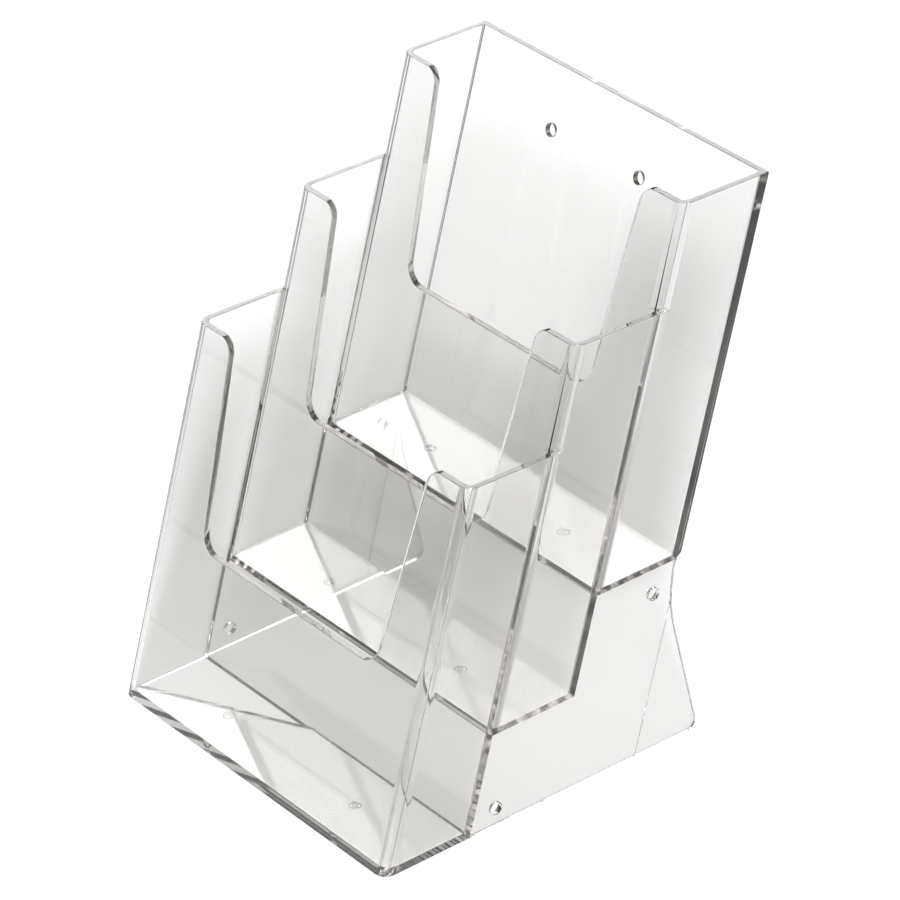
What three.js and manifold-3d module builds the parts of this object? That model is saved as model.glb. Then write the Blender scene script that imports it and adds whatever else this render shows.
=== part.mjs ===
// Three-tier counter rack for brochures, made of clear plastic sheet and mouldings.
// Three pockets step up and back. The front of each pocket is one panel that leans back, has a
// finger scoop cut from its top and runs on down to the floor of the pocket below. Two stepped
// side sheets carry the pockets and end in the feet that the rack stands on.
//
// Millimetres. +Z is up, +X is to the right seen from the front, and the front faces -Y.
// The origin is on the ground, in the middle of the rack's bounding box.

import * as THREE from 'three';
import * as BufferGeometryUtils from 'three/addons/utils/BufferGeometryUtils.js';
import Module from 'manifold-3d';

const wasm = await Module();
wasm.setup();

// ---------------------------------------------------------------- driving dimensions

const width = 160; // across the side sheets
const wall = 2.4; // every sheet and panel
const gap = 0.3; // bond line between two pieces
const lean = THREE.MathUtils.degToRad(18); // of the panels, back from upright
const tierCount = 3;
const tierRise = 37.3; // from one pocket floor to the next
const pocketDepth = 34.6; // clear, measured level from front to back
const pocketHeight = 141.6; // top front edge of a pocket above the underside of its floor
const topFall = THREE.MathUtils.degToRad(1.5); // the pocket tops fall a little towards the back

const cornerRadius = 5; // outside, on the upright corners of the fronts

const scoopFloor = 70; // bottom of the scoop, up the panel from the pocket's floor
const scoopHalfWidthLow = 51.6; // half width of the scoop where its bottom corners start
const scoopHalfWidthHigh = 58.6; // half width of the scoop at the pocket's top edge
const scoopCornerRadius = 8;
const earRadius = 6.5; // round corner at the top of each ear beside the scoop

const wallHoleRadius = 2.5;
const wallHoleDrop = 24.3; // below the top edge of the back panel
const wallHoleX = [-31, 19]; // the pair sits left of the middle

const linkHoleRadius = 2.5;
const linkHoles = [[51, 7], [126, 65]]; // distance from the front edge, height

const gateX = 38.5; // moulding gate marks, left and right of the middle of each floor
const gateRadius = 2;
const gateNubRadius = 0.8;
const gateDepth = 0.8;

const neckRadius = 60; // hollow curve behind the foot
const neckCentreHeight = 57.5;
const neckInset = 1.5; // the foot's web starts this far in front of the back panel's rear face
const footFlare = THREE.MathUtils.degToRad(11); // rear edge of the foot, out from upright
const footRadius = 4;
const scoreWidth = 0.6; // V groove where the foot snaps off for use on a wall
const scoreDepth = 0.25;

const arcSegments = 16;
const clearPlastic = { color: 0xf1f3f4, roughness: 0.04, metalness: 0, transparent: true, opacity: 0.35 };

// ---------------------------------------------------------------- derived dimensions

const innerHalf = width / 2 - wall; // inside face of a side sheet
const bondHalf = innerHalf - gap; // end of a piece that fits between the side sheets
const level = (distance) => distance / Math.cos(lean); // a distance square to a panel, taken level
const wallRun = level(wall);
const tierSetback = pocketDepth + wallRun + tierRise * Math.tan(lean);
const panelPitch = pocketDepth + wallRun; // level, from one panel's front face to the next one's
const overrun = 10; // how far a cutting shape runs past what it cuts

const tierHeight = (tier) => tier * tierRise;

// Point at a height on the front face of a tier's panel, or level behind it by an offset.
function onFront(tier, z, offset = 0) {
  return [tier * tierSetback + (z - tierHeight(tier)) * Math.tan(lean) + offset, z];
}

// The same panel plane, where it meets the sloping top of a pocket, raised by a lift.
function atTop(planeTier, offset, topTier = planeTier, lift = 0) {
  const [topY, topZ] = onFront(topTier, tierHeight(topTier) + pocketHeight);
  const [baseY, baseZ] = onFront(planeTier, topZ + lift, offset);
  const run = (baseY - topY) / (1 + Math.tan(lean) * Math.tan(topFall));
  const drop = run * Math.tan(topFall);
  return [baseY - drop * Math.tan(lean), baseZ - drop];
}

const topTier = tierCount - 1;
const backFace = panelPitch; // the back panel's front face, level behind the top tier's front
const rearFace = backFace + wallRun;
const overallDepth = atTop(topTier, rearFace)[0];

// ---------------------------------------------------------------- solids

function toSolid(geometry) {
  geometry.deleteAttribute('normal');
  geometry.deleteAttribute('uv');
  const merged = BufferGeometryUtils.mergeVertices(geometry, 1e-5);
  return new wasm.Manifold(
    new wasm.Mesh({
      numProp: 3,
      vertProperties: new Float32Array(merged.attributes.position.array),
      triVerts: new Uint32Array(merged.index.array),
    }),
  );
}

function toGeometry(solid) {
  const mesh = solid.getMesh();
  const geometry = new THREE.BufferGeometry();
  geometry.setAttribute('position', new THREE.BufferAttribute(new Float32Array(mesh.vertProperties), 3));
  geometry.setIndex(new THREE.BufferAttribute(new Uint32Array(mesh.triVerts), 1));
  const flat = geometry.toNonIndexed();
  flat.computeVertexNormals();
  return flat;
}

function polygon(points) {
  return new THREE.Shape(points.map(([x, y]) => new THREE.Vector2(x, y)));
}

// Prism across the rack from xFrom to xTo, from an outline drawn in depth and height.
function acrossRack(outline, xFrom, xTo) {
  const geometry = new THREE.ExtrudeGeometry(outline, {
    depth: xTo - xFrom,
    bevelEnabled: false,
    curveSegments: arcSegments,
  });
  const axes = new THREE.Matrix4().makeBasis(
    new THREE.Vector3(0, 1, 0),
    new THREE.Vector3(0, 0, 1),
    new THREE.Vector3(1, 0, 0),
  );
  geometry.applyMatrix4(axes);
  geometry.translate(xFrom, 0, 0);
  return toSolid(geometry);
}

// A panel is shaped in its own frame: x across, y into the panel and z up its face, from where
// the front face meets the underside of the tier's floor. The offset moves the face level back.
function inPanel(tier, offset, points) {
  const [originY, originZ] = onFront(tier, tierHeight(tier), offset);
  return points.map(([y, z]) => [
    (y - originY) * Math.cos(lean) - (z - originZ) * Math.sin(lean),
    (y - originY) * Math.sin(lean) + (z - originZ) * Math.cos(lean),
  ]);
}

function placePanel(geometry, tier, offset) {
  const [y, z] = onFront(tier, tierHeight(tier), offset);
  geometry.rotateX(-lean);
  geometry.translate(0, y, z);
  return geometry;
}

// Prism up the whole panel, from an outline drawn in x and y of the panel frame.
function upPanel(outline) {
  const geometry = new THREE.ExtrudeGeometry(outline, {
    depth: pocketHeight + 2 * tierRise + 2 * overrun,
    bevelEnabled: false,
    curveSegments: arcSegments,
  });
  geometry.translate(0, 0, -tierRise - 2 * overrun);
  return geometry;
}

// Prism through the panel, from an outline in x and z of the panel frame, rising by a slope.
function throughPanel(outline, slope = 0) {
  const geometry = new THREE.ExtrudeGeometry(outline, {
    depth: 4 * overrun,
    bevelEnabled: false,
    curveSegments: arcSegments,
  });
  geometry.rotateX(Math.PI / 2);
  geometry.translate(0, 2 * overrun, 0);
  geometry.applyMatrix4(new THREE.Matrix4().makeShear(0, 0, 0, slope, 0, 0));
  return toSolid(geometry);
}

// ---------------------------------------------------------------- outlines

// Plan of a front with rounded outside corners and returns that reach back to the side sheets.
function roundedFrontPlan() {
  const half = width / 2;
  const centre = half - cornerRadius;
  const plan = new THREE.Shape();
  plan.moveTo(-half, cornerRadius);
  plan.absarc(-centre, cornerRadius, cornerRadius, Math.PI, 1.5 * Math.PI, false);
  plan.absarc(centre, cornerRadius, cornerRadius, 1.5 * Math.PI, 2 * Math.PI, false);
  plan.lineTo(innerHalf, cornerRadius);
  plan.absarc(centre, cornerRadius, cornerRadius - wall, 0, -0.5 * Math.PI, true);
  plan.absarc(-centre, cornerRadius, cornerRadius - wall, 1.5 * Math.PI, Math.PI, true);
  plan.closePath();
  return plan;
}

// Plan of a panel that fits between the side sheets.
function bladePlan() {
  return polygon([[-bondHalf, 0], [bondHalf, 0], [bondHalf, wall], [-bondHalf, wall]]);
}

// Face of a front with its finger scoop, in x and height up the panel.
function scoopedFace() {
  const half = width / 2 + overrun;
  const top = pocketHeight / Math.cos(lean);
  const side = Math.atan2(scoopHalfWidthHigh - scoopHalfWidthLow, top - scoopFloor);
  const sideAt = (z) => scoopHalfWidthLow + (z - scoopFloor) * Math.tan(side);

  const lowZ = scoopFloor + scoopCornerRadius;
  const lowX = sideAt(lowZ) - scoopCornerRadius / Math.cos(side);
  const earZ = top - earRadius;
  const earX = sideAt(earZ) + earRadius / Math.cos(side);

  const face = new THREE.Shape();
  face.moveTo(-half, -tierRise - 2 * overrun);
  face.lineTo(half, -tierRise - 2 * overrun);
  face.lineTo(half, top + overrun);
  face.lineTo(earX, top + overrun);
  face.lineTo(earX, top);
  face.absarc(earX, earZ, earRadius, 0.5 * Math.PI, Math.PI - side, false);
  face.absarc(lowX, lowZ, scoopCornerRadius, -side, -0.5 * Math.PI, true);
  face.absarc(-lowX, lowZ, scoopCornerRadius, 1.5 * Math.PI, Math.PI + side, true);
  face.absarc(-earX, earZ, earRadius, side, 0.5 * Math.PI, false);
  face.lineTo(-earX, top + overrun);
  face.lineTo(-half, top + overrun);
  face.closePath();
  return face;
}

// Side outline of the steps, the rear edge, the neck and the foot, in depth and height.
function sideOutline() {
  const edge = level(cornerRadius + gap);
  const outline = new THREE.Shape();
  outline.moveTo(...onFront(0, 0, edge));
  outline.lineTo(...atTop(0, edge));
  for (let tier = 1; tier < tierCount; tier += 1) {
    outline.lineTo(...atTop(tier, edge, tier - 1));
    outline.lineTo(...atTop(tier, edge));
  }
  outline.lineTo(...atTop(topTier, rearFace));

  const neckTopZ = neckCentreHeight + neckRadius * Math.sin(lean);
  const neckTopY = onFront(topTier, neckTopZ, rearFace)[0] - neckInset;
  const neckY = neckTopY + neckRadius * Math.cos(lean);
  outline.lineTo(...onFront(topTier, neckTopZ + neckInset, rearFace));
  outline.absarc(neckY, neckCentreHeight, neckRadius, Math.PI - lean, Math.PI + footFlare, false);

  const flareY = neckY - neckRadius * Math.cos(footFlare);
  const flareZ = neckCentreHeight - neckRadius * Math.sin(footFlare);
  const footZ = footRadius;
  const footY = flareY + (flareZ - footZ) * Math.tan(footFlare) - footRadius / Math.cos(footFlare);
  outline.absarc(footY, footZ, footRadius, footFlare, -0.5 * Math.PI, true);
  outline.closePath();
  return outline;
}

function circle(x, y, radius) {
  const outline = new THREE.Shape();
  outline.absarc(x, y, radius, 0, 2 * Math.PI, false);
  return outline;
}

// ---------------------------------------------------------------- pieces

// Groove across the outside of a side sheet, in line with the back panel's rear face.
function scoreGroove(sign) {
  const groove = polygon([
    [-scoreWidth / 2, 0],
    [0, -scoreDepth],
    [scoreWidth / 2, 0],
    [scoreWidth / 2, overrun],
    [-scoreWidth / 2, overrun],
  ]);
  const geometry = new THREE.ExtrudeGeometry(groove, { depth: 2 * tierRise + 2 * overrun, bevelEnabled: false });
  const axes = new THREE.Matrix4().makeBasis(
    new THREE.Vector3(0, sign, 0),
    new THREE.Vector3(sign, 0, 0),
    new THREE.Vector3(0, 0, -1),
  );
  geometry.applyMatrix4(axes);
  geometry.rotateX(-lean);
  const [y, z] = onFront(topTier, neckCentreHeight + neckRadius * Math.sin(lean), rearFace);
  geometry.translate(sign * width / 2, y, z);
  return toSolid(geometry);
}

function sideSheet(sign) {
  const from = sign > 0 ? innerHalf : -width / 2;
  const sheet = acrossRack(sideOutline(), from, from + wall).subtract(scoreGroove(sign));
  const holes = linkHoles.map(([y, z]) => acrossRack(circle(y, z, linkHoleRadius), from - wall, from + 2 * wall));
  return toGeometry(holes.reduce((cut, hole) => cut.subtract(hole), sheet));
}

// The scoop is cut parallel to the pocket's top, so that its ears blend into that top.
function frontPanel(tier) {
  const half = width / 2 + overrun;
  const back = level(cornerRadius);
  const scoop = throughPanel(scoopedFace(), Math.tan(lean - topFall));
  const rounded = toSolid(upPanel(roundedFrontPlan()));
  if (tier === 0) {
    const body = inPanel(0, 0, [onFront(0, 0), onFront(0, 0, back), atTop(0, back), atTop(0, 0)]);
    const panel = rounded.intersect(acrossRack(polygon(body), -half, half)).intersect(scoop);
    return placePanel(toGeometry(panel), 0, 0);
  }

  // Above the pocket in front it is a full-width front, and below that top it is a plain blade
  // between the side sheets.
  const below = tier - 1;
  const foot = tierHeight(below);
  const upper = inPanel(tier, 0, [
    atTop(tier, 0, below, gap),
    atTop(tier, back, below, gap),
    atTop(tier, back),
    atTop(tier, 0),
  ]);
  const lower = inPanel(tier, 0, [
    onFront(tier, foot),
    onFront(tier, foot, wallRun),
    atTop(tier, wallRun, below, 2 * gap),
    atTop(tier, 0, below, 2 * gap),
  ]);
  const panel = rounded
    .intersect(acrossRack(polygon(upper), -half, half))
    .add(toSolid(upPanel(bladePlan())).intersect(acrossRack(polygon(lower), -half, half)))
    .intersect(scoop);
  return placePanel(toGeometry(panel), tier, 0);
}

function backPanel() {
  const half = width / 2 + overrun;
  const foot = tierHeight(topTier);
  const body = inPanel(topTier, backFace, [
    onFront(topTier, foot, backFace),
    onFront(topTier, foot, rearFace),
    atTop(topTier, rearFace),
    atTop(topTier, backFace),
  ]);
  const panel = toSolid(upPanel(bladePlan())).intersect(acrossRack(polygon(body), -half, half));

  const topZ = (atTop(topTier, rearFace)[1] - foot) / Math.cos(lean);
  const holes = wallHoleX.map((x) => throughPanel(circle(x, topZ - wallHoleDrop, wallHoleRadius)));
  const drilled = holes.reduce((cut, hole) => cut.subtract(hole), panel);
  return placePanel(toGeometry(drilled), topTier, backFace);
}

function floorPanel(tier) {
  const foot = tierHeight(tier);
  const front = wallRun + level(gap);
  const rear = panelPitch - level(gap);
  const profile = polygon([
    onFront(tier, foot, front),
    onFront(tier, foot, rear),
    onFront(tier, foot + wall, rear),
    onFront(tier, foot + wall, front),
  ]);
  let panel = acrossRack(profile, -bondHalf, bondHalf);

  if (tier === 0) {
    // The lowest floor meets the full-height returns, so its front corners are round too.
    const radius = cornerRadius - wall;
    const plan = new THREE.Shape();
    plan.moveTo(-bondHalf, 2 * panelPitch);
    plan.absarc(-bondHalf + radius, wall + gap + radius, radius, Math.PI, 1.5 * Math.PI, false);
    plan.absarc(bondHalf - radius, wall + gap + radius, radius, 1.5 * Math.PI, 2 * Math.PI, false);
    plan.lineTo(bondHalf, 2 * panelPitch);
    plan.closePath();
    panel = panel.intersect(toSolid(placePanel(upPanel(plan), 0, 0)));
  }

  const gateY = (onFront(tier, foot, front)[0] + onFront(tier, foot, rear)[0]) / 2;
  for (const x of [-gateX, gateX]) {
    const dish = new THREE.CylinderGeometry(gateRadius, gateRadius, 2 * gateDepth, 4 * arcSegments);
    const nub = new THREE.CylinderGeometry(gateNubRadius, gateNubRadius, 4 * gateDepth, 2 * arcSegments);
    for (const shape of [dish, nub]) {
      shape.rotateX(Math.PI / 2);
      shape.translate(x, gateY, foot);
    }
    panel = panel.subtract(toSolid(dish).subtract(toSolid(nub)));
  }
  return toGeometry(panel);
}

// ---------------------------------------------------------------- assembly

const rack = new THREE.Group();
rack.position.y = -overallDepth / 2;

function addPiece(name, geometry) {
  const mesh = new THREE.Mesh(geometry, new THREE.MeshStandardMaterial(clearPlastic));
  mesh.name = name;
  rack.add(mesh);
}

for (let tier = 0; tier < tierCount; tier += 1) {
  addPiece(`tier_${tier + 1}_front`, frontPanel(tier));
  addPiece(`tier_${tier + 1}_floor`, floorPanel(tier));
}
addPiece('back_panel', backPanel());
addPiece('left_side', sideSheet(-1));
addPiece('right_side', sideSheet(1));

export default rack;
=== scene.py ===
"""Clear three-pocket brochure rack on a plain white floor."""

import math

import bmesh
import bpy
from mathutils import Euler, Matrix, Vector
from mathutils.geometry import tessellate_polygon


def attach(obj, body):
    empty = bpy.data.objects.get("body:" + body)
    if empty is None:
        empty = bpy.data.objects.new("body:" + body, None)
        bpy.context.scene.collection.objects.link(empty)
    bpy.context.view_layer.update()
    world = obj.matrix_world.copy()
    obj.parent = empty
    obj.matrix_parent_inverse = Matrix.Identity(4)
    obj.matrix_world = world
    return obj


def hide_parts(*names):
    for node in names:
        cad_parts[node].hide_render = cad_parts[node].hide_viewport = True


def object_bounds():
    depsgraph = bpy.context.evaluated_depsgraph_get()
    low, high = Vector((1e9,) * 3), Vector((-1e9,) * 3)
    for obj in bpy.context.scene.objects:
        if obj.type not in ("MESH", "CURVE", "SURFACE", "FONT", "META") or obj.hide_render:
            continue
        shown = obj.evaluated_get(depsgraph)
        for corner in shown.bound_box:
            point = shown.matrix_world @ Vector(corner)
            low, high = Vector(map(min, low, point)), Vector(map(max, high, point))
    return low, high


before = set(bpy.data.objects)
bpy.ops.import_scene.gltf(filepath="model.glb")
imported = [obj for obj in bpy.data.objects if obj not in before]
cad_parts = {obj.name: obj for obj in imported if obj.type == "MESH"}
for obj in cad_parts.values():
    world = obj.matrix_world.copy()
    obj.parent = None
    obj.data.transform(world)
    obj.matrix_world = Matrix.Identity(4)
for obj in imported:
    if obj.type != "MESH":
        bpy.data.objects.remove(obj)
cad_low, cad_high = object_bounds()

LEAN = math.radians(18)
WALL = 0.0024
TOP_FALL = math.radians(1.5)
RISE = 0.0373  # from floor to floor
SETBACK = 0.049243  # from front to front, level
POCKET = 0.0346  # clear depth of a pocket, level
FRONT_HEIGHT = 0.1416
CORNER = 0.005
HALF_INSIDE = 0.0776  # inside face of a side sheet
BOND = 0.0003  # bond line
CLOSE = 0.00028  # how much of it the pieces take up
NEAR = 0.00004  # faces closer than this are bonded
SEAM = (CORNER + BOND) / math.cos(LEAN)  # front edge of a side sheet behind the front, level
DEPTH = cad_high.y - cad_low.y
EDGE = 0.00022  # broken edge of every sheet
POCKET_SQUARE = POCKET * math.cos(LEAN)  # clear depth of a pocket, square to its panels
REAR_FILLET = 0.0013  # in the rear corners of the pockets
FILLET_STEPS = 10


# ------------------------------------------------------------------ materials


def new_material(name):
    material = bpy.data.materials.new(name)
    material.use_nodes = True
    tree = material.node_tree
    tree.nodes.clear()
    return material, tree


def clear_plastic(name):
    """Polished clear plastic that darkens along the sheet, with a faint flow ripple.

    A bonded face lies inside the plastic and is not seen. The shadow of a sheet is weak.
    """
    material, tree = new_material(name)
    node = tree.nodes.new
    link = tree.links.new
    output = node("ShaderNodeOutputMaterial")
    shader = node("ShaderNodeBsdfPrincipled")
    shader.inputs["Base Color"].default_value = (0.965, 0.963, 0.958, 1)
    shader.inputs["Roughness"].default_value = 0.03
    shader.inputs["IOR"].default_value = 1.57
    shader.inputs["Transmission Weight"].default_value = 1.0
    place = node("ShaderNodeTexCoord")
    ripple = node("ShaderNodeTexNoise")
    ripple.inputs["Scale"].default_value = 14
    ripple.inputs["Detail"].default_value = 1
    bump = node("ShaderNodeBump")
    bump.inputs["Strength"].default_value = 0.02
    bump.inputs["Distance"].default_value = 0.001
    bonded = node("ShaderNodeAttribute")
    bonded.attribute_name = "bonded"
    inside = node("ShaderNodeBsdfTransparent")
    either = node("ShaderNodeMixShader")
    body = node("ShaderNodeVolumeAbsorption")
    body.inputs["Color"].default_value = (0.5, 0.48, 0.45, 1)
    body.inputs["Density"].default_value = 18
    link(place.outputs["Object"], ripple.inputs["Vector"])
    link(ripple.outputs["Fac"], bump.inputs["Height"])
    link(bump.outputs["Normal"], shader.inputs["Normal"])
    link(bonded.outputs["Fac"], either.inputs["Fac"])
    link(inside.outputs["BSDF"], either.inputs[2])
    path = node("ShaderNodeLightPath")
    passing = node("ShaderNodeBsdfTransparent")
    passing.inputs["Color"].default_value = (0.90, 0.90, 0.895, 1)
    seen = node("ShaderNodeMixShader")
    link(path.outputs["Is Shadow Ray"], seen.inputs["Fac"])
    link(shader.outputs["BSDF"], seen.inputs[1])
    link(passing.outputs["BSDF"], seen.inputs[2])
    link(seen.outputs["Shader"], either.inputs[1])
    link(either.outputs["Shader"], output.inputs["Surface"])
    link(body.outputs["Volume"], output.inputs["Volume"])
    return material


CLEAR = clear_plastic("clear_plastic")

# ------------------------------------------------------------------ pieces


def cleaned(node):
    """The node's solid with its flat faces whole again."""
    shape = bmesh.new()
    shape.from_mesh(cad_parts[node].data)
    bmesh.ops.remove_doubles(shape, verts=shape.verts, dist=2e-6)
    bmesh.ops.dissolve_limit(
        shape, angle_limit=math.radians(0.4), verts=shape.verts, edges=shape.edges
    )
    return shape


def behind_front(tier, point):
    """How far a point is level behind the front face of a tier's panel."""
    y = point.y + DEPTH / 2
    return y - tier * SETBACK - (point.z - tier * RISE) * math.tan(LEAN)


def close_bonds(node, shape):
    """Moves the mating faces of a piece across the bond line, so that it almost touches."""
    level = CLOSE / math.cos(LEAN)
    for vert in shape.verts:
        at = vert.co.copy()
        side = math.copysign(1, at.x)
        if node.endswith("_floor"):
            tier = int(node[5]) - 1
            vert.co.x += side * CLOSE if abs(at.x) > HALF_INSIDE / 2 else 0
            if abs(at.x) > HALF_INSIDE / 2:
                rear = behind_front(tier, at) > POCKET / 2
                vert.co.y += level if rear else -level
        elif node.endswith("_side"):
            for tier in range(3):
                if abs(behind_front(tier, at) - SEAM) < 1e-5:
                    vert.co.y -= level
        elif abs(abs(at.x) - HALF_INSIDE + BOND) < 1e-5:
            vert.co.x += side * CLOSE
        if node in ("tier_2_front", "tier_3_front") and abs(at.x) > HALF_INSIDE - CORNER:
            tier = int(node[5]) - 1
            above = at.z - shoulder(tier, at)
            if abs(above - BOND) < 4e-5:
                vert.co.z -= CLOSE
                vert.co.y -= CLOSE * math.tan(LEAN)


def shoulder(tier, point):
    """Height of the pocket top of the tier below, at a point's depth."""
    top = (tier - 1) * RISE + FRONT_HEIGHT
    start = (tier - 1) * SETBACK + FRONT_HEIGHT * math.tan(LEAN)
    return top - (point.y + DEPTH / 2 - start) * math.tan(TOP_FALL)


def outline(face):
    return [v.co.copy() for v in face.verts], face.normal.copy()


def faces_meeting(shape, corners, normal):
    """Faces of a shape that lie against an outline."""
    low = [min(c[i] for c in corners) - NEAR for i in range(3)]
    high = [max(c[i] for c in corners) + NEAR for i in range(3)]
    found = []
    for face in shape.faces:
        if face.normal.dot(normal) > -0.9995:
            continue
        if abs((face.verts[0].co - corners[0]).dot(normal)) > NEAR:
            continue
        if all(
            min(v.co[i] for v in face.verts) < high[i] and max(v.co[i] for v in face.verts) > low[i]
            for i in range(3)
        ):
            found.append(face)
    return found


def imprint(shape, corners, normal):
    """Scores an outline into the faces that it lies against."""
    for start, end in zip(corners, corners[1:] + corners[:1]):
        across = (end - start).cross(normal).normalized()
        low = [min(start[i], end[i]) - NEAR for i in range(3)]
        high = [max(start[i], end[i]) + NEAR for i in range(3)]
        hit = []
        for face in faces_meeting(shape, corners, normal):
            spans = [(v.co - start).dot(across) for v in face.verts]
            near = all(
                min(v.co[i] for v in face.verts) < high[i]
                and max(v.co[i] for v in face.verts) > low[i]
                for i in range(3)
            )
            if near and min(spans) < -NEAR and max(spans) > NEAR:
                hit.append(face)
        if hit:
            geometry = set(hit)
            for face in hit:
                geometry.update(face.edges)
                geometry.update(face.verts)
            bmesh.ops.bisect_plane(
                shape, geom=list(geometry), dist=1e-6, plane_co=start, plane_no=across
            )


def inside_point(face):
    """A point well inside a face of any outline."""
    corners = [v.co for v in face.verts]
    best, middle = -1, corners[0]
    for a, b, c in tessellate_polygon([corners]):
        size = (corners[b] - corners[a]).cross(corners[c] - corners[a]).length
        if size > best:
            best, middle = size, (corners[a] + corners[b] + corners[c]) / 3
    return middle


def covers(corners, normal, point):
    """True if a point lies inside an outline, seen along its normal."""
    skip = max(range(3), key=lambda i: abs(normal[i]))
    i, j = [k for k in range(3) if k != skip]
    inside = False
    for a, b in zip(corners, corners[1:] + corners[:1]):
        if (a[j] > point[j]) != (b[j] > point[j]):
            if point[i] < a[i] + (point[j] - a[j]) / (b[j] - a[j]) * (b[i] - a[i]):
                inside = not inside
    return inside


def bond(shapes):
    """Marks every stretch of face that is bonded to another piece."""
    outlines = {node: [outline(f) for f in shape.faces] for node, shape in shapes.items()}
    for node, shape in shapes.items():
        others = [o for name, rows in outlines.items() if name != node for o in rows]
        touching = [(c, n) for c, n in others if faces_meeting(shape, c, n)]
        for corners, normal in touching:
            imprint(shape, corners, normal)
        shape.normal_update()
        for corners, normal in touching:
            for face in faces_meeting(shape, corners, normal):
                if covers(corners, normal, inside_point(face)):
                    face.material_index = 1


def break_edges(shape):
    """Rounds the open edges and leaves the bonded ones whole."""
    open_edges = [
        edge
        for edge in shape.edges
        if edge.is_manifold
        and edge.calc_face_angle() > math.radians(40)
        and all(face.material_index == 0 for face in edge.link_faces)
    ]
    bmesh.ops.bevel(
        shape,
        geom=open_edges,
        offset=EDGE,
        offset_type="OFFSET",
        segments=2,
        profile=0.5,
        affect="EDGES",
        clamp_overlap=False,
    )


def make_piece(node, shape):
    for face in shape.faces:
        face.smooth = True
    marks = [float(face.material_index) for face in shape.faces]
    for face in shape.faces:
        face.material_index = 0
    mesh = bpy.data.meshes.new(node + "_moulding")
    shape.to_mesh(mesh)
    shape.free()
    bonded = mesh.attributes.new("bonded", "FLOAT", "FACE")
    bonded.data.foreach_set("value", marks)
    mesh.set_sharp_from_angle(angle=math.radians(14))
    mesh.materials.append(CLEAR)
    piece = bpy.data.objects.new(node + "_moulding", mesh)
    bpy.context.scene.collection.objects.link(piece)
    even = piece.modifiers.new("flat faces stay flat", "WEIGHTED_NORMAL")
    even.keep_sharp = True
    even.weight = 100
    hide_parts(node)
    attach(piece, "root")
    return piece


def panel_point(tier, x, depth, up):
    """World position of a point given in the frame of a tier's panel."""
    return Vector(
        (
            x,
            tier * SETBACK - DEPTH / 2 + depth * math.cos(LEAN) + up * math.sin(LEAN),
            tier * RISE - depth * math.sin(LEAN) + up * math.cos(LEAN),
        )
    )


def reach(tier, x, depth, height):
    """How far up a panel a point lies where it meets a surface of a given height."""
    up = 0
    for _ in range(6):
        point = panel_point(tier, x, depth, up)
        up += (height(point) - point.z) / math.cos(LEAN)
    return up


def corner_fillet(side, tier, face, towards, radius, bottom, top):
    """Concave fillet between a side sheet and a panel face, as a closed strip."""
    wall_x = side * (HALF_INSIDE - BOND + CLOSE)
    start = face + towards * (BOND - CLOSE)
    section = [(wall_x, start)]
    for step in range(FILLET_STEPS + 1):
        angle = step / FILLET_STEPS * math.pi / 2
        x = wall_x - side * radius * (1 - math.cos(angle))
        section.append((x, start + towards * radius * (1 - math.sin(angle))))
    shape = bmesh.new()
    rings = []
    for height in (bottom, top):
        ring = [panel_point(tier, x, d, reach(tier, x, d, height)) for x, d in section]
        rings.append([shape.verts.new(point) for point in ring])
    low, high = rings
    count = len(section)
    for i in range(count):
        j = (i + 1) % count
        shape.faces.new((low[i], low[j], high[j], high[i]))
    shape.faces.new(low[::-1])
    shape.faces.new(high)
    bmesh.ops.recalc_face_normals(shape, faces=shape.faces)
    return shape


def fillets():
    """The fillets in the upright corners of the pockets, by the piece that carries them."""
    strips = {}
    for side in (-1, 1):
        for tier in range(3):
            carrier = "back_panel" if tier == 2 else f"tier_{tier + 2}_front"
            floor = tier * RISE + WALL + BOND - CLOSE
            base = 2 if tier == 2 else tier + 1
            face = POCKET_SQUARE + WALL if tier == 2 else 0
            strips[f"{carrier} {side} rear"] = corner_fillet(
                side, base, face, -1, REAR_FILLET, lambda p, z=floor: z,
                lambda p, t=tier: shoulder(t + 1, p),
            )
        for tier in (1, 2):
            floor = tier * RISE + WALL + BOND - CLOSE
            strips[f"tier_{tier + 1}_front {side} inner"] = corner_fillet(
                side, tier, WALL, 1, CORNER - WALL, lambda p, z=floor: z,
                lambda p, t=tier: shoulder(t, p) + BOND - CLOSE - 0.00002,
            )
    return strips


shapes = {node: cleaned(node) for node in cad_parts}
for node, shape in shapes.items():
    close_bonds(node, shape)
    shape.normal_update()
shapes.update(fillets())
bond(shapes)
for name in [n for n in shapes if " " in n]:
    strip = shapes.pop(name)
    host = shapes[name.split()[0]]
    held = bpy.data.meshes.new("strip")
    strip.to_mesh(held)
    strip.free()
    host.from_mesh(held)
    bpy.data.meshes.remove(held)
for node, shape in shapes.items():
    break_edges(shape)
    make_piece(node, shape)

# ------------------------------------------------------------------ studio


def card(name, size, location, rotation, material):
    """Flat rectangle facing its own +Z."""
    half_x, half_y = size[0] / 2, size[1] / 2
    shape = bmesh.new()
    corners = [(-half_x, -half_y), (half_x, -half_y), (half_x, half_y), (-half_x, half_y)]
    shape.faces.new([shape.verts.new((x, y, 0)) for x, y in corners])
    mesh = bpy.data.meshes.new(name)
    shape.to_mesh(mesh)
    shape.free()
    mesh.materials.append(material)
    obj = bpy.data.objects.new(name, mesh)
    obj.location = location
    obj.rotation_euler = rotation
    bpy.context.scene.collection.objects.link(obj)
    return obj


def matt(name, color):
    material, tree = new_material(name)
    output = tree.nodes.new("ShaderNodeOutputMaterial")
    surface = tree.nodes.new("ShaderNodeBsdfDiffuse")
    surface.inputs["Color"].default_value = color
    tree.links.new(surface.outputs["BSDF"], output.inputs["Surface"])
    return material


def softbox(name, size, location, power):
    """Square softbox that faces the rack."""
    light = bpy.data.lights.new(name, "AREA")
    light.shape = "SQUARE"
    light.size = size
    light.energy = power
    return hung(name, light, location, AIM)


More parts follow.
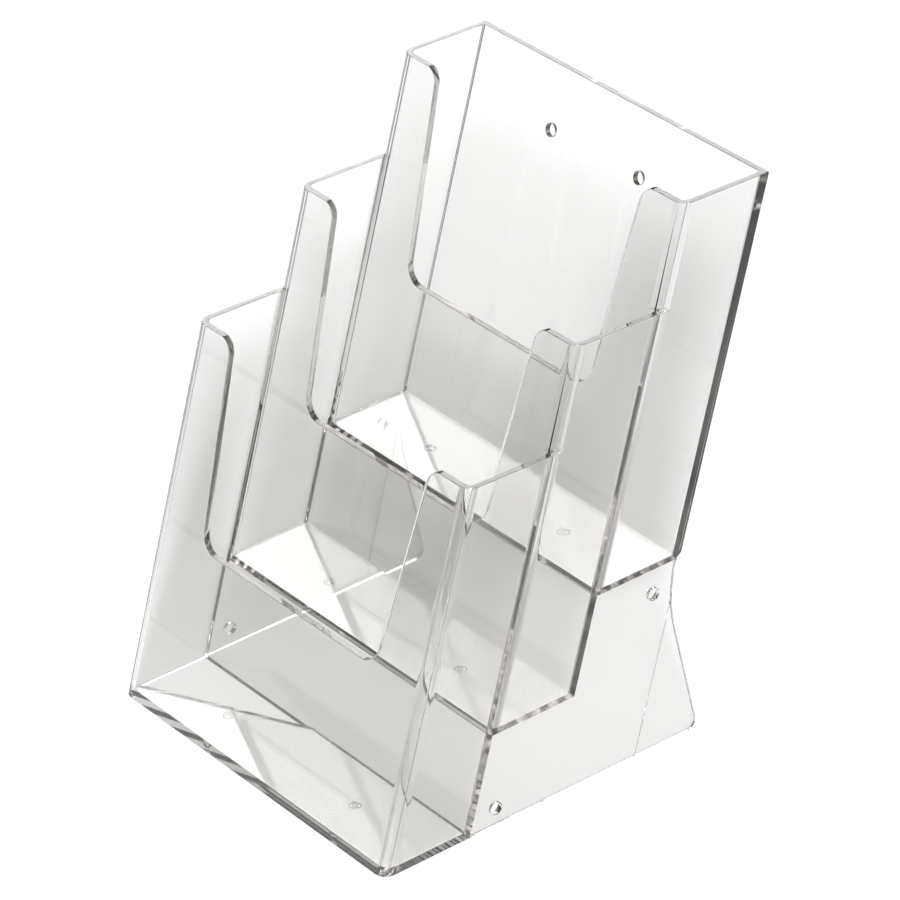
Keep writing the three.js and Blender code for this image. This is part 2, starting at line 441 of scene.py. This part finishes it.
def spotlight(name, location, aim, cone, blend, radius, power):
    """Focused lamp whose pool of light fades softly at its rim."""
    light = bpy.data.lights.new(name, "SPOT")
    light.spot_size = math.radians(cone)
    light.spot_blend = blend
    light.shadow_soft_size = radius
    light.energy = power
    return hung(name, light, location, aim)


def hung(name, light, location, aim):
    obj = bpy.data.objects.new(name, light)
    obj.location = location
    obj.rotation_euler = (aim - Vector(location)).to_track_quat("-Z", "Y").to_euler()
    bpy.context.scene.collection.objects.link(obj)
    return obj


AIM = Vector((0, 0, 0.08))  # where the softbox faces
POOL = Vector((-0.17, 0.13, 0))  # middle of the key light's pool
BEHIND = Vector((-0.45, 0.46, 0))
LEFT = Vector((-0.75, -0.92, 0))
FLOOR_SIZE = 12
FLOOR_LEVEL = -0.0005

white_floor = matt("white_floor", (0.9, 0.9, 0.9, 1))
card("floor", (FLOOR_SIZE, FLOOR_SIZE), (0, 0, FLOOR_LEVEL), (0, 0, 0), white_floor)
spotlight("key", (4.1, -3.0, 3.4), POOL, cone=10.5, blend=0.5, radius=0.3, power=2850)
softbox("far_softbox", 0.8, (-1.38, 1.01, 1.15), 10)
spotlight("left", (-1.0, -1.3, 1.3), LEFT, cone=34, blend=0.9, radius=0.1, power=36)
spotlight("background", (-0.62, 0.58, 1.3), BEHIND, cone=36, blend=0.8, radius=0.1, power=22)

world = bpy.data.worlds.new("studio")
world.use_nodes = True
world.node_tree.nodes["Background"].inputs["Color"].default_value = (0.07, 0.07, 0.075, 1)
world.node_tree.nodes["Background"].inputs["Strength"].default_value = 1.0
bpy.context.scene.world = world

camera = bpy.data.objects.new("camera", bpy.data.cameras.new("camera"))
camera.data.sensor_width = 36
camera.data.lens = 218.7
camera.data.clip_start = 0.05
camera.data.clip_end = 20
camera.location = (1.36162, -0.99201, 1.12308)
camera.rotation_euler = Euler([math.radians(a) for a in (58.768, 2.7505, 52.0906)])
bpy.context.scene.collection.objects.link(camera)
bpy.context.scene.camera = camera

scene = bpy.context.scene
scene.view_settings.view_transform = "Standard"
scene.cycles.max_bounces = 64
scene.cycles.transmission_bounces = 64
scene.cycles.glossy_bounces = 64
scene.cycles.transparent_max_bounces = 64
scene.cycles.caustics_reflective = False
scene.cycles.caustics_refractive = False
